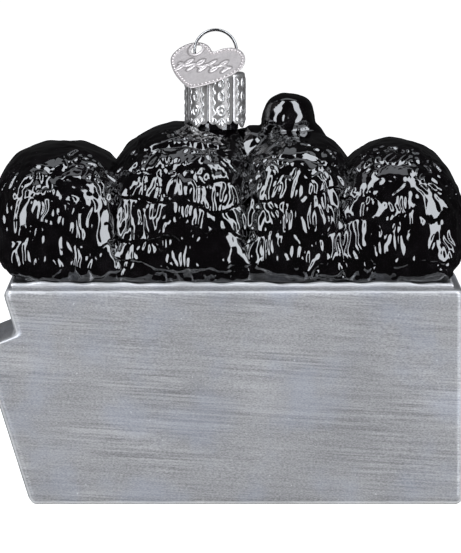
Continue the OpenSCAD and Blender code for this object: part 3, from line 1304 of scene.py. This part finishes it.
@dataclass
class PetalCap(Assembly):
    """The stamped cap: seven embossed petals under a flat top.

    Attributes:
        box: Its CAD box.
        neck: The neck's.
        finish: Its metal.
        petals: How many petals it has.
        turn: Degrees by which they are turned round the neck.
        sheet: Thickness of the sheet.
        lobe_depth: From a petal's crown in to a valley.
        radius: Radius at a petal's crown.
        slit: Width of a slit.
        emboss: Height of the embossing.
        edge_r: Radius of the top's edge.
        columns: Corners across a petal.
        rows: Corners down a petal.
        sides: Corners round the top.
    """

    box: Box
    neck: Box
    finish: bpy.types.Material
    petals: int = 7
    turn: float = 11.2
    sheet: float = 0.3
    lobe_depth: float = 0.36
    radius: float = 6.42
    slit: float = 0.14
    emboss: float = 0.17
    edge_r: float = 0.55
    columns: int = 61
    rows: int = 116
    sides: int = 252
    body: ClassVar[Body] = Body.CAP
    slot: ClassVar[Slot] = Slot.CAP

    @property
    def half(self) -> float:
        """Half a petal's turn."""
        return math.pi / self.petals

    def crown(self) -> tuple[float, float]:
        """The arc of a petal, which meets its neighbours in the valleys.

        Returns:
            Its radius, and how far its middle is from the axis.
        """
        half = self.half
        out, valley = self.radius, self.radius - self.lobe_depth
        r = ((out**2 - 2 * out * valley * math.cos(half) + valley**2)
             / (2 * (out - valley * math.cos(half))))
        return r, out - r

    def stamp(self, u: np.ndarray, v: np.ndarray) -> np.ndarray:
        """The embossing: three rings, a wavy line on each side, and a fan below.

        Args:
            u: Places across a petal, in millimetres from its middle.
            v: Places down it from the cap's top.

        Returns:
            The mark at each place, mostly 0 to 1.
        """
        def ring(cy: float, a: float, b: float) -> np.ndarray:
            """An oval line on the middle, a wide and b high."""
            reach = np.hypot(u / a, (v - cy) / b)
            return np.exp(-(((reach - 1) * a) / 0.17) ** 2)

        def bead(cx: float, cy: float, r: float) -> np.ndarray:
            """A round dome."""
            reach = np.hypot(u - cx, v - cy) / r
            return np.sqrt(np.clip(1 - reach**2, 0, 1))

        out = np.zeros_like(u)
        for cy, a, b in ((2.0, 0.42, 0.8), (4.8, 0.5, 0.9), (7.8, 0.8, 0.95)):
            out = np.maximum(out, ring(cy, a, b))
        out = np.maximum(out, 0.8 * bead(0, 7.8, 0.4))
        for side in (-1, 1):
            sway = 0.2 * np.sin(v * 2 * math.pi / 2.1 + side)
            line = np.exp(-((u - side * 1.6 - side * sway) / 0.15) ** 2)
            out = np.maximum(out, line * smooth_step(v, 0.9, 1.5) * smooth_step(-v, -9.2, -8.6))
            out = np.maximum(out, bead(side * 1.6, 9.75, 0.55))
        out = np.maximum(out, bead(0, 10.55, 0.5))
        angle = np.arctan2(u, v - 9.1)
        for lean in (-0.6, 0, 0.6):
            ray = np.exp(-((angle - lean) / 0.16) ** 2) * smooth_step(v, 9.15, 9.5)
            out = np.maximum(out, 0.7 * ray * smooth_step(-v, -10.6, -10.1))
        return out

    def hem(self, width: np.ndarray) -> np.ndarray:
        """The petal's lower edge: three scallops, the middle one longest.

        Args:
            width: Places across a petal, in millimetres from its middle.

        Returns:
            How far the petal comes down at each place.
        """
        tall = self.box.high[2] - self.box.low[2]
        return np.maximum.reduce([
            tall - 0.05 - 0.7 * np.abs(width) ** 1.8,
            tall - 0.9 - 0.75 * np.abs(np.abs(width) - 1.75) ** 2.2,
            np.full_like(width, tall - 1.9)])

    def shell_faces(self) -> np.ndarray:
        """Joins an outer and an inner sheet of columns by rows into a shell.

        Returns:
            Quads as rows of four corner numbers.
        """
        columns, rows = self.columns, self.rows
        shift = rows * columns
        k, j = np.meshgrid(np.arange(rows - 1), np.arange(columns - 1), indexing="ij")
        a = k * columns + j
        quads = np.stack([a, a + 1, a + columns + 1, a + columns], -1).reshape(-1, 4)
        border = np.concatenate([np.arange(columns), np.arange(1, rows) * columns + columns - 1,
                                 (rows - 1) * columns + np.arange(columns - 1)[::-1],
                                 np.arange(1, rows - 1)[::-1] * columns])
        after = np.roll(border, -1)
        wall = np.stack([after, border, border + shift, after + shift], -1)
        return np.concatenate([quads, quads[:, ::-1] + shift, wall])

    def petal(self) -> tuple[np.ndarray, np.ndarray, np.ndarray]:
        """One petal as a closed shell.

        Returns:
            The corners, the faces and the recess mark.
        """
        half = self.half
        r, at = self.crown()
        reach = self.radius - self.lobe_depth
        wing = math.atan2(reach * math.sin(half), reach * math.cos(half) - at)
        s = np.linspace(-1, 1, self.columns)
        swing = s * (wing - self.slit / 2 / r)
        width = r * swing
        hem = self.hem(width)
        v = np.linspace(0, 1, self.rows)[:, None] * (hem - 0.5)[None, :] + 0.5
        u = np.broadcast_to(width, v.shape)
        stamp = self.stamp(u, v)
        fade = smooth_step(1 - np.abs(s), 0, 0.12) * smooth_step(hem[None, :] - v, 0, 0.25)
        shell = []
        for out in (r + stamp * self.emboss * fade, np.full_like(v, r - self.sheet)):
            # The sheet turns in where it meets the flat top
            top = smooth_step(0.9 - v, 0, 0.4) * 0.12
            x = at + out * np.cos(swing) - top
            y = out * np.sin(swing)
            shell.append(np.stack([x, y, self.box.high[2] - v], axis=-1).reshape(-1, 3))
        plain = smooth_step(np.abs(s), 0.86, 0.92)
        low = np.clip(1 - stamp * 2.2, 0, 1) * 0.8 * (1 - 0.5 * plain)
        # The inner sheet is marked 0.9 throughout: painted shade inside the cap
        recess = np.concatenate([low.ravel(), np.full(low.size, 0.9)])
        return np.concatenate(shell), self.shell_faces(), recess

    def ring_tool(self) -> GeometryTool:
        """A tree that sets copies of one petal round the neck.

        Returns:
            The tree, ready to run.
        """
        tool = GeometryTool("ring_of_petals", {
            "Petals": self.petals, "Turn": math.radians(self.turn - 90),
            "Axis X": float(self.neck.middle[0]) * MM})
        line = tool.node("GeometryNodeMeshLine", None, {
            "Count": tool.input("Petals"), "Offset": (0, 0, 0)})
        index = tool.node("GeometryNodeInputIndex")
        angle = index * (2 * math.pi) / tool.input("Petals") + tool.input("Turn")
        copies = tool.node("GeometryNodeInstanceOnPoints", None, {
            "Points": line, "Instance": tool.input("Geometry"),
            "Rotation": tool.vector(0, 0, angle)})
        moved = tool.node("GeometryNodeTransform", None, {
            "Geometry": copies, "Translation": tool.vector(tool.input("Axis X"), 0, 0)})
        tool.finish(moved, self.finish)
        return tool

    def top_plate(self) -> Mesh:
        """The cap's flat top, with a rounded edge that follows the petals.

        Returns:
            The corners and the faces.
        """
        side = 2 * math.pi * np.arange(self.sides) / self.sides
        r, at = self.crown()
        half, edge_r = self.half, self.edge_r
        local = (side - math.radians(self.turn - 90) + half) % (2 * half) - half
        outline = at * np.cos(local) + np.sqrt(r**2 - (at * np.sin(local)) ** 2)
        turn = np.linspace(0, math.pi / 2, 7)
        rows = [(0.45, 1.2), (0.0, 1.2)]
        rows += [(edge_r - edge_r * math.cos(t), edge_r - edge_r * math.sin(t)) for t in turn]
        rows = [(outline - inset - 0.02, depth) for inset, depth in rows]
        # The middle is dished a little
        rows += [((outline - edge_r) * share, 0.06 * (1 - share)) for share in (0.75, 0.5, 0.25)]
        rings = np.stack([np.stack([reach * np.cos(side), reach * np.sin(side),
                                    np.full(self.sides, self.box.high[2] - depth)], -1)
                          for reach, depth in rows])
        return stack_mesh(rings + np.array([self.neck.middle[0], 0, 0]))

    def build(self) -> None:
        """Makes the ring of petals and the top."""
        points, faces, recess = self.petal()
        petals = mesh_piece("cap_petals", points, faces, {"recess": recess})
        self.ring_tool().run(petals)
        petals.data.shade_smooth()
        self.dress(petals, "neck_cap")
        points, faces = self.top_plate()
        plate = mesh_piece("cap_top", points, faces, {"recess": np.full(len(points), 0.15)})
        plate.data.materials.append(self.finish)
        self.dress(plate)


# --------------------------------------------------------------- the hanger


@dataclass
class WireHanger(Assembly):
    """A loop of spring wire whose legs drop through the cap.

    Attributes:
        box: Its CAD box.
        cap: The cap's.
        finish: Its steel.
        wire_r: Radius of the wire.
        leg_gap: Between the legs where they enter the cap.
        leg_end: From the middle to a leg's end.
        cap_gap: Between the loop's foot and the cap.
        straight: Length of a leg's upright stretch.
    """

    box: Box
    cap: Box
    finish: bpy.types.Material
    wire_r: float = 0.3
    leg_gap: float = 3.0
    leg_end: float = 3.9
    cap_gap: float = 0.1
    straight: float = 5.15
    body: ClassVar[Body] = Body.HANGER
    slot: ClassVar[Slot] = Slot.WIRE

    def __post_init__(self) -> None:
        """Works out the loop's radius and middle from the room over the cap."""
        foot = self.cap.high[2] + self.cap_gap + self.wire_r
        rise = self.box.high[2] - self.wire_r - foot
        # The loop's foot is leg_gap wide: rise = r + sqrt(r^2 - (leg_gap / 2)^2)
        self.loop_r = (rise**2 + (self.leg_gap / 2) ** 2) / (2 * rise)
        self.loop_z = self.box.high[2] - self.wire_r - self.loop_r
        self.axis_x = float(self.box.middle[0])

    def path(self) -> np.ndarray:
        """The wire's middle, from one leg's end round the loop to the other's.

        Returns:
            Points along it, one row each.
        """
        gap = math.asin(self.leg_gap / 2 / self.loop_r)
        turn = np.linspace(gap, 2 * math.pi - gap, 150)
        loop = np.stack([self.loop_r * np.sin(turn), -self.loop_r * np.cos(turn)], -1)
        loop[:, 1] += self.loop_z
        foot = loop[0, 1]
        elbow = foot - self.straight
        leg = np.array([[self.leg_end, self.box.low[2] + self.wire_r],
                        [self.leg_gap / 2, elbow], [self.leg_gap / 2, foot - 0.4]])
        t = np.linspace(0, 1, 12)[:, None]
        runs = [leg[0] * (1 - t) + leg[1] * t, leg[1] * (1 - t) + leg[2] * t]
        right = np.concatenate([runs[0], runs[1][1:]])
        left = right[::-1] * np.array([-1, 1])
        flat = np.concatenate([right, loop, left])
        return np.column_stack([flat[:, 0] + self.axis_x, np.zeros(len(flat)), flat[:, 1]])

    def build(self) -> None:
        """Sweeps a round section along the path."""
        path = self.path()
        ahead = np.gradient(path, axis=0)
        ahead /= np.linalg.norm(ahead, axis=1)[:, None]
        side = np.array([0.0, 1.0, 0.0])
        up = np.cross(ahead, side)
        turn = 2 * math.pi * np.arange(20) / 20
        spokes = (np.cos(turn)[None, :, None] * side
                  + np.sin(turn)[None, :, None] * up[:, None, :])
        points, faces = stack_mesh(path[:, None, :] + self.wire_r * spokes)
        wire = mesh_piece("hanger_loop_wire", points, faces)
        wire.data.materials.append(self.finish)
        self.dress(wire, "hanger_wire")


# ------------------------------------------------------------------ the tag


@dataclass
class HeartTag(Assembly):
    """A stamped heart on the loop, with a beaded border and a stem of leaves.

    Attributes:
        cap: The cap's CAD box.
        hanger: The loop that it hangs on.
        finish: Its metal.
        lobe_r: Radius of a lobe.
        thick: Thickness of the sheet.
        yaw: Degrees by which it is turned round the upright.
        roll: Degrees by which it is turned in its own plane.
        offset: From the loop's low side to the hole.
        clear: Room between the tag and the cap's edge.
        hole_r: Radius of the hole.
        hole_at: Middle of the hole, in radii of a lobe.
        cap_r: Radius of the cap.
        softness: Rounds of smoothing on the outline.
        bow: Bow of the sides, as a share of their length.
        emboss: Height of the stem and leaves.
        border_in: From the outline in to the beads.
        spacing: From bead to bead.
        bead_r: Radius of a bead.
    """

    cap: Box
    hanger: WireHanger
    finish: bpy.types.Material
    lobe_r: float = 4.9
    thick: float = 0.25
    yaw: float = -28.7
    roll: float = -8.4
    offset: tuple = (0.4, -0.2, 0.3)
    clear: float = 0.45
    hole_r: float = 1.25
    hole_at: tuple = (-0.88, 0.59)
    cap_r: float = 6.46
    softness: int = 26
    bow: float = 0.1
    emboss: float = 0.11
    border_in: float = 0.5
    spacing: float = 0.84
    bead_r: float = 0.23
    body: ClassVar[Body] = Body.TAG
    slot: ClassVar[Slot] = Slot.TAG

    def placing(self) -> Matrix:
        """Turns the flat heart into its place on the loop, clear of the cap.

        Returns:
            The matrix, in metres.
        """
        yaw = math.radians(self.yaw)
        out = (self.cap_r + (self.hanger.loop_r - self.offset[0]) * math.sin(yaw)
               + self.offset[1] * math.cos(yaw))
        up = self.hanger.loop_z + self.offset[2] - self.cap.high[2]
        lean = math.atan2(out, up) + math.asin(self.clear / math.hypot(out, up))
        at = Vector((self.hanger.axis_x - self.hanger.loop_r + self.offset[0],
                     self.offset[1], self.hanger.loop_z + self.offset[2])) * MM
        hole = Vector((*self.hole_at, 0)) * self.lobe_r * MM
        return (Matrix.Translation(at) @ Matrix.Rotation(yaw, 4, "Z")
                @ Matrix.Rotation(math.pi / 2 - lean, 4, "X")
                @ Matrix.Rotation(math.radians(self.roll), 4, "Z")
                @ Matrix.Translation(-hole))

    def outline(self, inset: float = 0.0, count: int = 240) -> np.ndarray:
        """The heart's outline: two lobes and bowed sides, softened where they meet.

        Args:
            inset: How far it is drawn in.
            count: How many points it has.

        Returns:
            Evenly spaced points, one row each.
        """
        r = self.lobe_r
        lobe, tip = 0.87 * r, 1.583 * r
        touch = math.acos(r / math.hypot(lobe, tip)) - math.atan2(tip, lobe)
        turn = np.linspace(touch, math.pi - math.acos(lobe / r), 80)
        arc = np.stack([lobe + (r - inset) * np.cos(turn), (r - inset) * np.sin(turn)], -1)
        arc = arc[arc[:, 0] > 0.02]
        s = np.linspace(0, 1, 40)[:-1, None]
        corner, foot = arc[0], np.array([0, -tip + inset * 1.35])
        out = np.array([corner[1] - foot[1], foot[0] - corner[0]])
        bow = self.bow * out * 4 * s * (1 - s) * (1 - 0.35 * (1 - s))
        half = np.concatenate([foot * (1 - s) + corner * s + bow, arc])
        loop = np.concatenate([half, (half * [-1, 1])[::-1]])
        steps = np.linalg.norm(np.diff(loop, axis=0), axis=1)
        length = np.concatenate([[0], np.cumsum(steps)])
        at = np.linspace(0, length[-1], count, endpoint=False)
        line = np.stack([np.interp(at, length, loop[:, k]) for k in range(2)], -1)
        for _ in range(self.softness):
            line = (np.roll(line, 1, axis=0) + 2 * line + np.roll(line, -1, axis=0)) / 4
        return line

    def plate(self) -> bpy.types.Object:
        """The sheet, drawn out from a middle point to its rounded edge.

        Returns:
            The plate, flat and at the origin, without its hole.
        """
        middle = np.array([0, -0.12 * self.lobe_r])
        edge = self.outline()
        half = self.thick / 2
        rows = [(0.15, -half), (0.5, -half), (0.85, -half), (0.985, -half), (1.0, -half * 0.5),
                (1.0, half * 0.5), (0.985, half), (0.93, half)]
        rows += [(share, half * 0.55) for share in np.linspace(0.9, 0.05, 46)]
        rings = np.stack([np.column_stack([middle + (edge - middle) * share,
                                           np.full(len(edge), z)]) for share, z in rows])
        points, faces = stack_mesh(rings)
        inner = np.abs(points[:, 2] - half * 0.55) < 0.01
        reach = self.reach_of_lines(points[:, :2])
        ridge = np.exp(-(reach / 0.22) ** 2) * inner
        points[:, 2] += self.emboss * ridge
        shade = np.exp(-((reach - 0.45) / 0.16) ** 2)
        recess = np.where(inner, 0.3 - 0.3 * ridge + 0.5 * shade, 0.45)
        return mesh_piece("tag_plate", points, faces, {"recess": recess})

    def stem_lines(self) -> list[np.ndarray]:
        """A stem of leaves across both lobes, and a ring round the hole.

        Returns:
            Lines, each as points in the heart's plane.
        """
        r = self.lobe_r
        turn = np.linspace(0, 2 * math.pi, 90)
        ring = np.stack([np.cos(turn), np.sin(turn)], -1)
        lines = [np.array(self.hole_at) * r + ring * (self.hole_r + 0.3)]
        lean = math.radians(58)
        for k, x in enumerate(np.linspace(-1.12, 1.12, 9)):
            # Leaves stand by turns above and below the stem
            y = -0.24 + 0.12 * x + (0.2 if k % 2 else -0.14)
            along, across = 0.17 * ring[:, 0], (0.075 - 0.02 * (k % 3)) * ring[:, 1]
            lines.append(np.stack([x + along * math.cos(lean) - across * math.sin(lean),
                                   y + along * math.sin(lean) + across * math.cos(lean)], -1) * r)
        sweep = np.linspace(-1.25, 1.3, 160)
        lines.append(np.stack([sweep, -0.22 + 0.12 * sweep + 0.07 * np.sin(sweep * 9)], -1) * r)
        return lines

    def reach_of_lines(self, spots: np.ndarray) -> np.ndarray:
        """Measures from the nearest line of the stem, the leaves and the ring.

        Args:
            spots: Places in the heart's plane.

        Returns:
            The distance of each.
        """
        reach = np.full(len(spots), np.inf)
        for line in self.stem_lines():
            apart = np.linalg.norm(spots[:, None] - line[None], axis=2).min(axis=1)
            reach = np.minimum(reach, apart)
        return reach

    def bead_tool(self) -> GeometryTool:
        """A tree that sets beads along a closed line.

        Returns:
            The tree, ready to run.
        """
        tool = GeometryTool("row_of_beads", {
            "Spacing": self.spacing * MM, "Bead radius": self.bead_r * MM})
        line = tool.node("GeometryNodeMeshToCurve", None, {0: tool.input("Geometry")})
        spots = tool.node("GeometryNodeCurveToPoints", {"mode": "LENGTH"}, {
            "Curve": line, "Length": tool.input("Spacing")})
        bead = tool.node("GeometryNodeMeshIcoSphere", None, {
            "Radius": tool.input("Bead radius"), "Subdivisions": 3})
        copies = tool.node("GeometryNodeInstanceOnPoints", None, {
            "Points": spots, "Instance": bead})
        tool.finish(copies, self.finish)
        return tool

    @staticmethod
    def line_piece(name: str, line: np.ndarray) -> bpy.types.Object:
        """A bare closed line of edges for a tree to follow.

        Args:
            name: The piece's name.
            line: Points along it in millimetres, one row each.

        Returns:
            The piece, at the origin.
        """
        edges = [(k, (k + 1) % len(line)) for k in range(len(line))]
        mesh = bpy.data.meshes.new(name)
        mesh.from_pydata((line * MM).tolist(), edges, [])
        piece = bpy.data.objects.new(name, mesh)
        bpy.context.scene.collection.objects.link(piece)
        return piece

    def build(self) -> None:
        """Makes the plate with its hole, and the beads on it."""
        placing = self.placing()
        plate = self.plate()
        plate.data.materials.append(self.finish)
        hole = np.array(self.hole_at) * self.lobe_r
        turn = 2 * math.pi * np.arange(64) / 64
        circle = hole + self.hole_r * np.stack([np.cos(turn), np.sin(turn)], axis=-1)
        rings = np.stack([np.column_stack([circle, np.full(64, z)]) for z in (-1.0, 1.0)])
        drill = mesh_piece("drill", *stack_mesh(rings))
        cut = plate.modifiers.new("hole", "BOOLEAN")
        cut.operation = "DIFFERENCE"
        cut.solver = "EXACT"
        cut.object = drill
        apply_modifiers(plate)
        bpy.data.objects.remove(drill)
        plate.data.transform(placing)
        self.dress(plate, "heart_tag")
        border = self.outline(self.border_in, 200)
        height = np.full(len(border), self.thick * 0.45)
        beads = self.line_piece("tag_beads", np.column_stack([border, height]))
        self.bead_tool().run(beads)
        beads.data.shade_smooth()
        beads.data.transform(placing)
        self.dress(beads)


# --------------------------------------------------------------- the studio


@dataclass(frozen=True)
class Softbox:
    """One soft lamp, aimed at the middle of the object.

    Attributes:
        name: Its name.
        azimuth: Where it stands, in degrees; 0 is behind the camera.
        height: Degrees above the level.
        distance: Metres from the object.
        size: Width and height in metres.
        power: Watts.
    """

    name: str
    azimuth: float
    height: float
    distance: float
    size: tuple
    power: float


@dataclass
class Studio:
    """A pale floor, soft lamps and the camera.

    Attributes:
        target: What the lamps are aimed at, in metres.
        softboxes: The lamps.
        distance: From the camera to its aim, in metres.
        rise: Degrees by which the camera looks down.
        lens: Focal length.
        aim: What the camera is aimed at, in metres.
        tint: Colour of the lamps.
        floor_half: Half the floor's side, in metres.
        surround: Colour of the surround.
        surround_power: Its strength.
    """

    target: Vector
    softboxes: tuple[Softbox, ...]
    distance: float = 0.979
    rise: float = 6.0
    lens: float = 308.0
    aim: tuple = (0.95 * MM, -21 * MM, 47.8 * MM)
    tint: tuple = (0.9, 0.94, 1.0)
    floor_half: float = 12.0
    surround: tuple = (0.95, 0.96, 1, 1)
    surround_power: float = 0.02

    def lamps(self) -> None:
        """Stands each softbox round the object."""
        for lamp in self.softboxes:
            data = bpy.data.lights.new(lamp.name, "AREA")
            data.shape = "RECTANGLE"
            data.size, data.size_y = lamp.size
            data.energy = lamp.power
            data.color = self.tint
            around, up = math.radians(lamp.azimuth), math.radians(lamp.height)
            away = Vector((math.sin(around) * math.cos(up), -math.cos(around) * math.cos(up),
                           math.sin(up)))
            light = bpy.data.objects.new(lamp.name, data)
            light.location = self.target + away * lamp.distance
            light.rotation_euler = away.to_track_quat("Z", "Y").to_euler()
            bpy.context.scene.collection.objects.link(light)

    def camera(self) -> None:
        """Looks along +Y and a little down."""
        data = bpy.data.cameras.new("camera")
        data.lens = self.lens
        data.sensor_fit = "VERTICAL"
        data.sensor_height = 36
        data.clip_start = 0.05
        camera = bpy.data.objects.new("camera", data)
        rise = math.radians(self.rise)
        back = Vector((0, -math.cos(rise), math.sin(rise))) * self.distance
        camera.location = Vector(self.aim) + back
        camera.rotation_euler = (math.pi / 2 - rise, 0, 0)
        bpy.context.scene.collection.objects.link(camera)
        bpy.context.scene.camera = camera

    def floor(self) -> None:
        """A wide pale floor."""
        half = self.floor_half
        mesh = bpy.data.meshes.new("floor")
        mesh.from_pydata([(-half, -half, 0), (half, -half, 0), (half, half, 0),
                          (-half, half, 0)], [], [(0, 1, 2, 3)])
        floor = bpy.data.objects.new("floor", mesh)
        bpy.context.scene.collection.objects.link(floor)
        material = bpy.data.materials.new("pale_floor")
        material.use_nodes = True
        graph = Graph(material.node_tree)
        surface = graph.node("ShaderNodeBsdfPrincipled", None, {
            "Base Color": (0.8, 0.8, 0.8, 1), "Roughness": 0.9,
            "Emission Color": (1, 1, 1, 1), "Emission Strength": 1.0})
        graph.node("ShaderNodeOutputMaterial", None, {"Surface": surface})
        mesh.materials.append(material)
        floor.visible_glossy = False

    def world(self) -> None:
        """An even pale surround."""
        world = bpy.data.worlds.new("surround")
        world.use_nodes = True
        graph = Graph(world.node_tree)
        light = graph.node("ShaderNodeBackground", None, {
            "Color": self.surround, "Strength": self.surround_power})
        graph.node("ShaderNodeOutputWorld", None, {"Surface": light})
        bpy.context.scene.world = world

    def build(self) -> None:
        """Sets everything up."""
        self.camera()
        self.lamps()
        self.floor()
        self.world()
        bpy.context.scene.view_settings.view_transform = "Standard"


def main() -> None:
    """Builds the ornament from the tub up."""
    logging.basicConfig(level=logging.INFO, format="%(name)s: %(message)s")
    tub, neck, cap = Box.of("tub_glass"), Box.of("neck_glass"), Box.of("neck_cap")
    whole = (Vector(cad_bounds[0]) + Vector(cad_bounds[1])) / 2
    Studio(whole, (
        Softbox("left_box", -46, 27, 0.8, (0.38, 1.4), 9.2),
        Softbox("right_box", 46, 27, 0.8, (0.38, 1.4), 9.2),
        Softbox("top_box", 180, 84, 0.9, (0.9, 0.35), 0.85),
    )).build()
    lumps = (
        Lump("lump_low_end", 74.4, 0, 3.65, 2.3, 2.3, 1.0, row=9.0, bare=0.3, flute=6.0),
        Lump("lump_wide", 78.4, 3.65, 3.2, 2.0, 2.3, 21.0, row=6.2, shingle=0.8, bare=0.38,
             flute=3.4, balls=(Ball(-2.4, 78.4, 9.2),)),
        Lump("lump_knobbed", 77.0, 3.2, 4.1, 2.3, 2.3, 41.0, row=8.0, bare=0.38,
             balls=(Ball(13.1, 84.6, 5.5, 0.8), Ball(16.6, 78.8, 5.2), Ball(5.8, 77.8, 6.0))),
        Lump("lump_high_end", 75.1, 4.1, 0, 1.7, 1.9, 61.0, row=6.5, bare=0.22),
    )
    hanger = WireHanger(Box.of("hanger_wire"), cap, SpringSteel().make(Slot.WIRE))
    rosy = StampedMetal(bright=(0.74, 0.69, 0.68, 1), toned=(0.16, 0.145, 0.142, 1),
                        roughness=0.34, metallic=0.6)
    for assembly in (
            CartTub(tub, SilverLacquer().make(Slot.SILVER)),
            CoalHeap(tub, neck, cap, BlackLacquer().make(Slot.BLACK), lumps),
            GlassNeck(SilveredGlass().make(Slot.SILVERED)),
            PetalCap(cap, neck, StampedMetal().make(Slot.CAP)),
            hanger,
            HeartTag(cap, hanger, rosy.make(Slot.TAG))):
        assembly.build()
        assembly.report()


if __name__ == "__main__":
    main()
